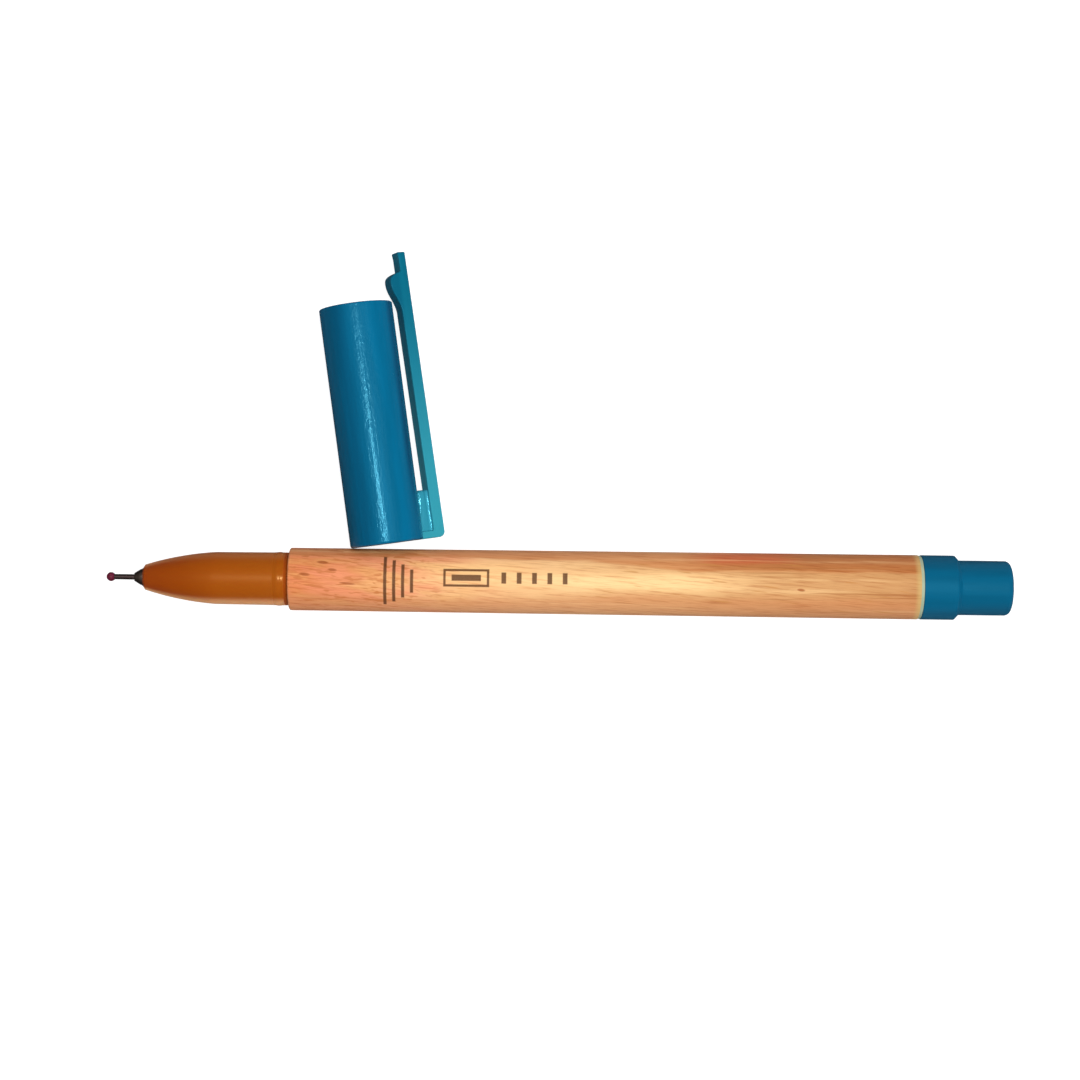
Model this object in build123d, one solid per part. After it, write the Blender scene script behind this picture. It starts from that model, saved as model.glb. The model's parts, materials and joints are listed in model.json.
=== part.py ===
from build123d import *
import math
import os

# Capped needle-point ball pen, uncapped, with its cap lying beside it on the table.
# Millimetres. The pen lies along X with its writing point at -X; the cap lies on the +Y side.
# Pen stations are distances along X from the front of the sealing bead.

# ---- overall stations of the pen, front to back ----
BEAD_D = 1.45
NEEDLE_BACK = 13.0
COLLAR_FRONT = 4.46
COLLAR_SHOULDER = 5.75
NOSE_FRONT = 5.9
HOLDER_FRONT = 9.0
GRIP_STRAIGHT = 17.3
RIDGE_FRONT = 27.0
BARREL_FRONT = 29.1
WRAP_FRONT = 29.5
WRAP_BACK = 128.5
BARREL_BACK = 129.0
FLANGE_BACK = 134.3
POST_FRONT = 135.0
PEN_LENGTH = 143.2

# ---- writing point ----
BALL_R = 0.30
BALL_AT = 0.80
SOCKET_GAP = 0.015
NEEDLE_R = 0.425
NEEDLE_LIP_R = 0.30
NEEDLE_FRONT = 0.62
NEEDLE_TAPER_BACK = 1.10
INK_CHANNEL_R = 0.20
BEAD_BORE_R = 0.44
BEAD_BORE_FRONT = 0.40

# ---- refill ----
COLLAR_FRONT_R = 0.65
COLLAR_R = 1.42
COLLAR_STEM_R = 0.95
COLLAR_BACK = 15.0
COLLAR_CHANNEL_R = 0.50
HOLDER_R = 1.80
HOLDER_BACK = 18.0
HOLDER_STEM_BACK = 24.0
HOLDER_CHANNEL_R = 0.60
REFILL_R = 1.65
REFILL_BORE_R = 1.15
REFILL_BACK = 110.0
INK_BACK = 92.0
FOLLOWER_LENGTH = 6.0
FOLLOWER_R = 1.13

# ---- grip section ----
NOSE_R = 1.86
NOSE_EDGE = 0.30
OGIVE_MID = (9.8, 3.00)
GRIP_FRONT_R = 4.12
GRIP_R = 4.18
RIDGE_R = 4.34
RIDGE_RISE = 0.9
RIDGE_BACK = 28.75
NECK_R = 4.18
NOSE_BORE_R = 1.47
HOLDER_BORE_R = 1.84
HOLDER_BORE_BACK = 20.0
GRIP_BORE_R = 2.60
SPIGOT_R = 3.66
SPIGOT_LENGTH = 12.0

# ---- barrel and end plug ----
BARREL_FRONT_R = 4.95
BARREL_BACK_R = 5.10
WRAP_THICKNESS = 0.10
BARREL_BORE_R = 3.70
BARREL_EDGE = 0.35
FLANGE_R = 5.10
POST_R = 4.33
POST_EDGE = 0.9
PLUG_SPIGOT_LENGTH = 12.0
PLUG_BORE_R = 2.60
PLUG_BORE_BACK = 141.5

# ---- cap ----
CAP_R = 5.80
CAP_LENGTH = 38.0
CAP_END = 2.0
CAP_EDGE = 0.40
CAP_LIP_EDGE = 0.25
CLUTCH_R = 4.45
MOUTH_R = 5.16
MOUTH_DEPTH = 5.3
MOUTH_STEP = 0.5
MOUTH_BEVEL = 0.25
LINER_R = 4.20
LINER_LENGTH = 10.0
LINER_SHOULDER = 0.2
LINER_END = 0.8
LINER_BORE_R = 2.70
LINER_FLARE = 0.8

# ---- clip, in the cap's own frame: distance from the closed end, and from the cap's axis ----
CLIP_WIDTH = 2.3
CLIP_THICKNESS = 1.91
CLIP_OUTER_R = 9.90
CLIP_TAPER = 0.0115
CLIP_LENGTH = 46.0
CLIP_ROOT = 7.8
CLIP_CORNER = 0.95
CLIP_GAP = 0.03
WEB_WIDTH = 1.2
END_BAND = 1.2
BUMP_FRONT = 42.9
BUMP_PEAK = 41.1
BUMP_BACK = 36.4
BUMP_HEIGHT = 1.35
TIP_THICKNESS = 1.25
LIP_LENGTH = 1.1
LIP_HEIGHT = 0.12

# ---- how the cap lies beside the pen ----
CAP_STATION = 44.46
CAP_LEAN = 8.35
CAP_ROLL = 28.98
CAP_CLEARANCE = 0.05

OUT = "parts"


def turned(points):
    """A solid of revolution about X from an outline of (station, radius) points."""
    outline = make_face(Polyline(*points, close=True))
    return revolve(outline, axis=Axis.X)


def rod(front, back, radius):
    """A round rod along X between two stations."""
    return turned([(front, 0), (front, radius), (back, radius), (back, 0)])


def barrel_radius(station):
    """Outer radius of the finished barrel, which widens evenly towards the back."""
    along = (station - BARREL_FRONT) / (BARREL_BACK - BARREL_FRONT)
    return BARREL_FRONT_R + along * (BARREL_BACK_R - BARREL_FRONT_R)


def clip_outer(station):
    """Outer face of the clip: its distance from the cap's axis."""
    return CLIP_OUTER_R - CLIP_TAPER * station


def clip_inner(station):
    """Inner face of the clip: its distance from the cap's axis."""
    return clip_outer(station) - CLIP_THICKNESS


def tip_inner(station):
    """Inner face of the thinner end of the clip, in front of its bump."""
    return clip_outer(station) - TIP_THICKNESS


# ---------------- barrel ----------------
def barrel_tube():
    """Plastic tube, open at both ends, with a rounded front edge."""
    skin_front = BARREL_FRONT_R - WRAP_THICKNESS
    skin_back = BARREL_BACK_R - WRAP_THICKNESS
    tube = turned([
        (BARREL_FRONT, BARREL_BORE_R),
        (BARREL_FRONT, skin_front),
        (BARREL_BACK, skin_back),
        (BARREL_BACK, BARREL_BORE_R),
    ])
    front_edge = tube.edges().filter_by(GeomType.CIRCLE).sort_by(Axis.X)[:2].sort_by(SortBy.RADIUS)[-1]
    return fillet(front_edge, BARREL_EDGE)


def wood_grain_wrap():
    """Thin printed sleeve round the barrel; it stops short of the barrel's back end."""
    front_r = barrel_radius(WRAP_FRONT)
    back_r = barrel_radius(WRAP_BACK)
    return turned([
        (WRAP_FRONT, front_r - WRAP_THICKNESS),
        (WRAP_FRONT, front_r),
        (WRAP_BACK, back_r),
        (WRAP_BACK, back_r - WRAP_THICKNESS),
    ])


def end_plug():
    """Flanged plug pressed into the back of the barrel; its post carries the cap in use."""
    spigot_front = BARREL_BACK - PLUG_SPIGOT_LENGTH
    body = turned([
        (spigot_front, 0),
        (spigot_front, BARREL_BORE_R),
        (BARREL_BACK, BARREL_BORE_R),
        (BARREL_BACK, FLANGE_R),
        (FLANGE_BACK, FLANGE_R),
        (POST_FRONT, POST_R),
        (PEN_LENGTH, POST_R),
        (PEN_LENGTH, 0),
    ])
    end_edge = body.edges().filter_by(GeomType.CIRCLE).sort_by(Axis.X)[-1]
    body = fillet(end_edge, POST_EDGE)
    return body - rod(spigot_front, PLUG_BORE_BACK, PLUG_BORE_R)


# ---------------- front section ----------------
def grip_section():
    """Ogive nose, finger grip, snap ridge for the cap and a spigot that pushes into the barrel."""
    spigot_back = BARREL_FRONT + SPIGOT_LENGTH
    with BuildPart() as grip:
        with BuildSketch():
            with BuildLine():
                nose = Polyline(
                    (NOSE_FRONT, NOSE_BORE_R),
                    (NOSE_FRONT, NOSE_R - NOSE_EDGE),
                    (NOSE_FRONT + NOSE_EDGE, NOSE_R + NOSE_EDGE / 2),
                )
                ogive = ThreePointArc(nose @ 1, OGIVE_MID, (GRIP_STRAIGHT, GRIP_FRONT_R))
                Polyline(
                    ogive @ 1,
                    (RIDGE_FRONT, GRIP_R),
                    (RIDGE_FRONT + RIDGE_RISE, RIDGE_R),
                    (RIDGE_BACK, RIDGE_R),
                    (BARREL_FRONT, NECK_R),
                    (BARREL_FRONT, SPIGOT_R),
                    (spigot_back, SPIGOT_R),
                    (spigot_back, GRIP_BORE_R),
                    (HOLDER_BORE_BACK, GRIP_BORE_R),
                    (HOLDER_BORE_BACK, HOLDER_BORE_R),
                    (HOLDER_FRONT, HOLDER_BORE_R),
                    (HOLDER_FRONT, NOSE_BORE_R),
                    nose @ 0,
                )
            make_face()
        revolve(axis=Axis.X)
    return grip.part


# ---------------- refill ----------------
def needle_tube():
    """Steel needle: rolled lip round the ball, and an ink channel down the middle."""
    needle = turned([
        (NEEDLE_FRONT, 0),
        (NEEDLE_FRONT, NEEDLE_LIP_R),
        (NEEDLE_TAPER_BACK, NEEDLE_R),
        (NEEDLE_BACK, NEEDLE_R),
        (NEEDLE_BACK, 0),
    ])
    socket = Pos(BALL_AT, 0, 0) * Sphere(BALL_R + SOCKET_GAP)
    return needle - socket - rod(BALL_AT, NEEDLE_BACK, INK_CHANNEL_R)


def writing_ball():
    """Ball held in the needle's socket."""
    return Pos(BALL_AT, 0, 0) * Sphere(BALL_R)


def sealing_bead():
    """Round bead pushed over the point for transport."""
    bead = Pos(BEAD_D / 2, 0, 0) * Sphere(BEAD_D / 2)
    return bead - rod(BEAD_BORE_FRONT, BEAD_D, BEAD_BORE_R)


def tip_collar():
    """Metal collar that holds the needle: cone, shoulder and a stem pressed into the holder."""
    return turned([
        (COLLAR_FRONT, NEEDLE_R),
        (COLLAR_FRONT, COLLAR_FRONT_R),
        (COLLAR_SHOULDER, COLLAR_R),
        (HOLDER_FRONT, COLLAR_R),
        (HOLDER_FRONT, COLLAR_STEM_R),
        (COLLAR_BACK, COLLAR_STEM_R),
        (COLLAR_BACK, COLLAR_CHANNEL_R),
        (NEEDLE_BACK, COLLAR_CHANNEL_R),
        (NEEDLE_BACK, NEEDLE_R),
    ])


def tip_holder():
    """Plastic adapter between the metal collar and the refill tube."""
    return turned([
        (HOLDER_FRONT, COLLAR_STEM_R),
        (HOLDER_FRONT, HOLDER_R),
        (HOLDER_BACK, HOLDER_R),
        (HOLDER_BACK, REFILL_BORE_R),
        (HOLDER_STEM_BACK, REFILL_BORE_R),
        (HOLDER_STEM_BACK, HOLDER_CHANNEL_R),
        (COLLAR_BACK, HOLDER_CHANNEL_R),
        (COLLAR_BACK, COLLAR_STEM_R),
    ])


def refill_tube():
    """Ink tube, pushed over the holder's stem and open at the back."""
    return rod(HOLDER_BACK, REFILL_BACK, REFILL_R) - rod(HOLDER_BACK, REFILL_BACK, REFILL_BORE_R)


def ink_column():
    """Ink filling the collar, the holder and the tube up to the follower."""
    return turned([
        (NEEDLE_BACK, 0),
        (NEEDLE_BACK, COLLAR_CHANNEL_R),
        (COLLAR_BACK, COLLAR_CHANNEL_R),
        (COLLAR_BACK, HOLDER_CHANNEL_R),
        (HOLDER_STEM_BACK, HOLDER_CHANNEL_R),
        (HOLDER_STEM_BACK, REFILL_BORE_R),
        (INK_BACK, REFILL_BORE_R),
        (INK_BACK, 0),
    ])


def ink_follower():
    """Clear grease plug that follows the ink down the tube."""
    return rod(INK_BACK, INK_BACK + FOLLOWER_LENGTH, FOLLOWER_R)


# ---------------- cap, built in its own frame ----------------
def clip_plate(points, width):
    """A plate of the given width from an outline of (station, distance from axis) points."""
    outline = make_face(Polyline(*points, close=True))
    return extrude(outline, amount=width / 2, both=True)


def clip_root():
    """Where the clip joins the cap: a bent band with a thinner web behind it."""
    band = clip_plate([
        (0, CLUTCH_R),
        (0, clip_outer(0)),
        (CLIP_ROOT, clip_outer(CLIP_ROOT)),
        (CLIP_ROOT, clip_inner(CLIP_ROOT)),
        (END_BAND, clip_inner(END_BAND)),
        (END_BAND, CLUTCH_R),
    ], CLIP_WIDTH)
    corner = band.edges().filter_by(Axis.Z).sort_by(Axis.X)[:2].sort_by(Axis.Y)[-1]
    web = clip_plate([
        (END_BAND, CLUTCH_R),
        (END_BAND, clip_inner(END_BAND)),
        (CLIP_ROOT, clip_inner(CLIP_ROOT)),
        (CLIP_ROOT, CLUTCH_R),
    ], WEB_WIDTH)
    return fillet(corner, CLIP_CORNER) + web


def cap_shell():
    """Closed tube with a wider mouth that passes over the barrel, and the clip's root."""
    skin = rod(0, CAP_LENGTH, CAP_R)
    rims = skin.edges().filter_by(GeomType.CIRCLE).sort_by(Axis.X)
    skin = fillet(rims[0], CAP_EDGE)
    rims = skin.edges().filter_by(GeomType.CIRCLE).sort_by(Axis.X)
    skin = fillet(rims[-1], CAP_LIP_EDGE)
    step = CAP_LENGTH - MOUTH_DEPTH
    shoulder = CAP_END + LINER_LENGTH + LINER_SHOULDER
    cavity = turned([
        (CAP_END, 0),
        (CAP_END, LINER_R),
        (shoulder, LINER_R),
        (shoulder, CLUTCH_R),
        (step - MOUTH_STEP, CLUTCH_R),
        (step, MOUTH_R),
        (CAP_LENGTH - MOUTH_BEVEL, MOUTH_R),
        (CAP_LENGTH, MOUTH_R + MOUTH_BEVEL),
        (CAP_LENGTH, 0),
    ])
    return (skin + clip_root()) - cavity


def inner_cap():
    """Soft liner pressed into the closed end, which seals round the pen's nose."""
    back = CAP_END + LINER_LENGTH
    return turned([
        (CAP_END, 0),
        (CAP_END, LINER_R),
        (back, LINER_R),
        (back, LINER_BORE_R + LINER_FLARE),
        (back - LINER_FLARE, LINER_BORE_R),
        (CAP_END + LINER_END, LINER_BORE_R),
        (CAP_END + LINER_END, 0),
    ])


def clip_arm():
    """Springy arm of the clip, with a gripping bump and a small lip at its free end."""
    start = CLIP_ROOT + CLIP_GAP
    lip = CLIP_LENGTH - LIP_LENGTH
    with BuildPart() as arm:
        with BuildSketch():
            with BuildLine():
                outside = Polyline(
                    (BUMP_BACK, clip_inner(BUMP_BACK)),
                    (start, clip_inner(start)),
                    (start, clip_outer(start)),
                    (CLIP_LENGTH, clip_outer(CLIP_LENGTH)),
                    (CLIP_LENGTH, tip_inner(CLIP_LENGTH) - LIP_HEIGHT),
                    (lip, tip_inner(lip)),
                    (BUMP_FRONT, tip_inner(BUMP_FRONT)),
                )
                peak = (BUMP_PEAK, clip_inner(BUMP_PEAK) - BUMP_HEIGHT)
                Spline(outside @ 1, peak, tangents=((-1, -4), (-1, 0)))
                Spline(peak, outside @ 0, tangents=((-1, 0), (-1, 0)))
            make_face()
        extrude(amount=CLIP_WIDTH / 2, both=True)
    return arm.part


# ---------------- assembly ----------------
def cap_plane():
    """The cap's own frame: X out of its mouth, Y towards the clip, lying beside the barrel."""
    lean = math.radians(CAP_LEAN)
    roll = math.radians(CAP_ROLL)
    mouth = Vector(-math.sin(lean), math.cos(lean), 0)
    side = Vector(math.cos(lean), math.sin(lean), 0)
    clip = side * math.cos(roll) - Vector(0, 0, 1) * math.sin(roll)
    rise = CAP_R - FLANGE_R
    barrel_side = math.sqrt(barrel_radius(CAP_STATION) ** 2 - rise ** 2)
    corner = (CAP_R - CAP_EDGE) * math.sin(lean) + CAP_EDGE * (1 - math.cos(lean))
    origin = Vector(CAP_STATION, barrel_side + CAP_CLEARANCE + corner, rise)
    return Plane(origin=origin, x_dir=mouth, z_dir=mouth.cross(clip))


PEN_NODES = [
    barrel_tube, wood_grain_wrap, end_plug, grip_section, needle_tube, writing_ball,
    sealing_bead, tip_collar, tip_holder, refill_tube, ink_column, ink_follower,
]
CAP_NODES = [cap_shell, inner_cap, clip_arm]


def assemble():
    """Every node in place, with the origin under the middle of the whole set, on the table."""
    cap_place = cap_plane().location
    nodes = {make.__name__: make() for make in PEN_NODES}
    nodes.update({make.__name__: cap_place * make() for make in CAP_NODES})
    box = Compound(children=[Compound(node.solids()) for node in nodes.values()]).bounding_box()
    middle = box.center()
    origin = Vector(middle.X, middle.Y, box.min.Z)
    return {name: Pos(-origin) * node for name, node in nodes.items()}, origin


nodes, origin = assemble()
os.makedirs(OUT, exist_ok=True)
for name, node in nodes.items():
    export_step(node, f"{OUT}/{name}.step")
    print(name, len(node.solids()), round(node.volume, 3))
print("origin in pen stations", origin)
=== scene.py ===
import cmath
import json
import math

import bmesh
import bpy
from mathutils import Matrix, Vector


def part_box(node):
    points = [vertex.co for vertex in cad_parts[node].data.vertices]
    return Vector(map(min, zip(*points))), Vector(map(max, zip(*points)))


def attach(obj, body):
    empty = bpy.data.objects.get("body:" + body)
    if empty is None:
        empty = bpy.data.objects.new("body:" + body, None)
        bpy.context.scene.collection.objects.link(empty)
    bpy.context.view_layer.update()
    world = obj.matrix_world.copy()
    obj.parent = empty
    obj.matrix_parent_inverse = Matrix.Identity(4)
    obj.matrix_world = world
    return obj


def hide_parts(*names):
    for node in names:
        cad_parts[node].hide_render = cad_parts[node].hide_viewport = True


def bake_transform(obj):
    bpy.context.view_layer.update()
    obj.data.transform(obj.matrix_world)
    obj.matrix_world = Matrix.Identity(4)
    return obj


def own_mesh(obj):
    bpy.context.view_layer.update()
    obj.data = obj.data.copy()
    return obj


# Looks for the capped needle-point pen: visible surfaces, materials, light and camera.
# Lengths are millimetres in each piece's own frame, and become metres in the row frame.

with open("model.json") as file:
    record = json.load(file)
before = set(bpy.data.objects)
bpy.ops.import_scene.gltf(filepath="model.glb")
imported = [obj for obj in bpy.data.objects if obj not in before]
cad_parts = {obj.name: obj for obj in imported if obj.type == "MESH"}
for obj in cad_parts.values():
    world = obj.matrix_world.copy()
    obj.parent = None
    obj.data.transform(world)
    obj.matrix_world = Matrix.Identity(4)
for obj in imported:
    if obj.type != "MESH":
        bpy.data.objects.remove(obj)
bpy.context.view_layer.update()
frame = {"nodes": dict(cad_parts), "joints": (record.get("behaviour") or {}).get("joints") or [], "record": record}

MM = 0.001
ROUND = 160  # points round a turned piece
ARC_STEPS = 6
SHARP_ANGLE = math.radians(35)


# ---------------- frames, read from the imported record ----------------
def own_frame(origin, along, across):
    """Millimetres with X along and Y across, placed in the row frame."""
    turn = Matrix((along, across, along.cross(across))).transposed().to_4x4()
    return Matrix.Translation(origin) @ turn @ Matrix.Scale(MM, 4)


def extent(node, place):
    """Lowest and highest corner of a node in a piece's own frame."""
    back = place.inverted()
    points = [back @ v.co for v in frame["nodes"][node].data.vertices]
    low = Vector(min(p[i] for p in points) for i in range(3))
    high = Vector(max(p[i] for p in points) for i in range(3))
    return low, high


def named(entries, name):
    """The entry of a record list that has this name."""
    return next(e for e in entries if e["name"] == name)


post_mount = named(frame["record"]["mounts"], "rear_post")
bore_mount = named(frame["record"]["mounts"], "cap_bore")
clip_joint = named(frame["joints"], "clip_flex")

bead_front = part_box("sealing_bead")[0].x
pen_axis = Vector(post_mount["pos_m"])
PEN = own_frame(Vector((bead_front, pen_axis.y, pen_axis.z)), Vector((1, 0, 0)), Vector((0, 1, 0)))

mouth_way = Vector(bore_mount["axis"]).normalized()
flex_way = Vector(clip_joint["axis"]).normalized()
clip_way = flex_way.cross(mouth_way)
bore_middle = Vector(bore_mount["pos_m"])
closed_end = extent("cap_shell", own_frame(bore_middle, mouth_way, clip_way))[0].x * MM
CAP = own_frame(bore_middle + mouth_way * closed_end, mouth_way, clip_way)

# ---------------- driving sizes ----------------
tube_low, tube_high = extent("barrel_tube", PEN)
film_low, film_high = extent("wood_grain_wrap", PEN)
plug_low, plug_high = extent("end_plug", PEN)
grip_low, grip_high = extent("grip_section", PEN)
needle_low, needle_high = extent("needle_tube", PEN)
collar_low, collar_high = extent("tip_collar", PEN)
holder_low, holder_high = extent("tip_holder", PEN)
refill_low, refill_high = extent("refill_tube", PEN)
bead_low, bead_high = extent("sealing_bead", PEN)
ball_low, ball_high = extent("writing_ball", PEN)
ink_low, ink_high = extent("ink_column", PEN)
grease_low, grease_high = extent("ink_follower", PEN)
liner_low, liner_high = extent("inner_cap", CAP)
arm_low, arm_high = extent("clip_arm", CAP)

FILM = 0.10
BARREL_TAPER = 0.0015
BARREL_BORE = 3.70
BARREL_FRONT_EDGE = 0.35
FLANGE_LENGTH = 5.3
FLANGE_SLOPE = 0.7
PLUG_BORE = 2.60
PLUG_FLOOR = 1.7
POST_EDGE = 0.9
GATE_RECESS_R = 1.30
GATE_RECESS_DEPTH = 0.12
GATE_R = 0.42
GATE_BELOW_END = 0.03

NOSE_R = 1.86
NOSE_EDGE = 0.30
OGIVE_MIDDLE = (9.8, 3.00)
OGIVE_BACK = (17.3, 4.12)
GRIP_R = 4.18
RIDGE_FRONT = 26.87
RIDGE_BACK = 28.07
RIDGE_CREST = 4.255
RIDGE_FOOT_R = 4.185
NECK_R = 4.18
SPIGOT_R = 3.66
NOSE_BORE = 1.47
HOLDER_BORE = 1.84
GRIP_BORE = 2.60
HOLDER_BORE_BACK = 20.0

CAP_R = 5.80
CAP_LENGTH = 38.0
CAP_FLOOR = 2.0
CAP_EDGE = 0.40
CLUTCH_R = 4.45
MOUTH_R = 5.16
MOUTH_DEPTH = 5.3
LINER_BORE = 2.70

CLIP_THICKNESS = 1.91
CLIP_TAPER = 0.0115
CLIP_ROOT = 7.8
CLIP_CORNER = 0.95
CLIP_EDGE = 0.20
CLIP_INNER_CORNER = 0.30
END_BAND = 1.2
BUMP_BACK = 36.4
BUMP_PEAK = 41.1
BUMP_FRONT = 42.9
BUMP_HEIGHT = 1.35
BUMP_STEEPNESS = 3.2
TIP_THICKNESS = 1.25
LIP_LENGTH = 1.1
LIP_HEIGHT = 0.12
WEB_WIDTH = 1.2
WEB_STEPS = 24
WEB_MIDDLE = 6.85
WEB_SWELL_WIDTH = 1.3
WEB_SWELL_FULL = 6.0
WEB_SWELL = 0.27
WEB_FLARE = 0.45
WEB_FLARE_LENGTH = 0.80
WEB_EDGE = 0.50
clip_root_outer = arm_high.y + arm_low.x * CLIP_TAPER


# ---------------- outlines and meshes ----------------
def rounded(corners):
    """A closed outline from (station, radius) corners; a third value rounds that corner."""
    outline = []
    for i, (x, y, *rounding) in enumerate(corners):
        if not rounding:
            outline.append((x, y))
            continue
        here = complex(x, y)
        back = complex(*corners[i - 1][:2]) - here
        on = complex(*corners[(i + 1) % len(corners)][:2]) - here
        back, on = back / abs(back), on / abs(on)
        half = abs(cmath.phase(on / back)) / 2
        centre = here + (back + on) / abs(back + on) * rounding[0] / math.sin(half)
        start = here + back * rounding[0] / math.tan(half) - centre
        end = here + on * rounding[0] / math.tan(half) - centre
        outline += swept(centre, start, cmath.phase(end / start), ARC_STEPS)
    return outline


def swept(centre, spoke, angle, steps):
    """Points of an arc that a spoke sweeps round a centre, both ends included."""
    points = [centre + spoke * cmath.rect(1, angle * k / steps) for k in range(steps + 1)]
    return [(p.real, p.imag) for p in points]


def arc(start, middle, end, steps):
    """Points on the circle through three points, from start to end, both left out."""
    a, b, c = (complex(*p) for p in (start, middle, end))
    w = (c - a) / (b - a)
    centre = (b - a) * (w - abs(w) ** 2) / (2j * w.imag) + a
    return swept(centre, a - centre, cmath.phase((c - centre) / (a - centre)), steps)[1:-1]


def lathe(outline):
    """Points and faces of a solid turned about X; an outline point on the axis makes a pole."""
    points, rings, faces = [], [], []
    for x, r in outline:
        first = len(points)
        if r <= 0:
            points.append((x, 0, 0))
            rings.append([first] * ROUND)
            continue
        angles = [math.tau * k / ROUND for k in range(ROUND)]
        points += [(x, r * math.cos(a), r * math.sin(a)) for a in angles]
        rings.append(range(first, first + ROUND))
    for i, ring in enumerate(rings):
        before = rings[i - 1]
        for k in range(ROUND):
            on = (k + 1) % ROUND
            corners = dict.fromkeys((before[k], before[on], ring[on], ring[k]))
            if len(corners) > 2:
                faces.append(list(corners))
    return points, faces


def loft(sections):
    """Points and faces of a solid through sections that have the same number of points."""
    size = len(sections[0])
    points = [p for section in sections for p in section]
    faces = [list(range(size)), list(range(len(points) - size, len(points)))]
    for i in range(len(sections) - 1):
        for k in range(size):
            on = (k + 1) % size
            faces.append([i * size + k, i * size + on, (i + 1) * size + on, (i + 1) * size + k])
    return points, faces


def piece(name, shape, place, material):
    """An object in the row frame, which also keeps each point's place in its own frame."""
    points, faces = shape
    mesh = bpy.data.meshes.new(name)
    mesh.from_pydata([place @ Vector(p) for p in points], [], faces)
    own = mesh.attributes.new("own", "FLOAT_VECTOR", "POINT")
    own.data.foreach_set("vector", [value for p in points for value in p])
    solid = bmesh.new()
    solid.from_mesh(mesh)
    bmesh.ops.recalc_face_normals(solid, faces=solid.faces)
    solid.to_mesh(mesh)
    solid.free()
    mesh.shade_smooth()
    mesh.set_sharp_from_angle(angle=SHARP_ANGLE)
    mesh.materials.append(material)
    made = bpy.data.objects.new(name, mesh)
    bpy.context.scene.collection.objects.link(made)
    even = made.modifiers.new("even_shading", "WEIGHTED_NORMAL")
    even.keep_sharp = True
    return made


def fit(made, body, slot, *nodes):
    """Puts a piece on its body and hides the CAD nodes it stands for; the slot, the finish's name, is not used."""
    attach(made, body)
    if nodes:
        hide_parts(*nodes)
    return made


# ---------------- material kit ----------------
def linear(red, green, blue):
    """A display colour of 0 to 255 as the linear colour that a shader takes."""
    def channel(value):
        share = value / 255
        return share / 12.92 if share <= 0.04045 else ((share + 0.055) / 1.055) ** 2.4
    return (channel(red), channel(green), channel(blue), 1.0)


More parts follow.
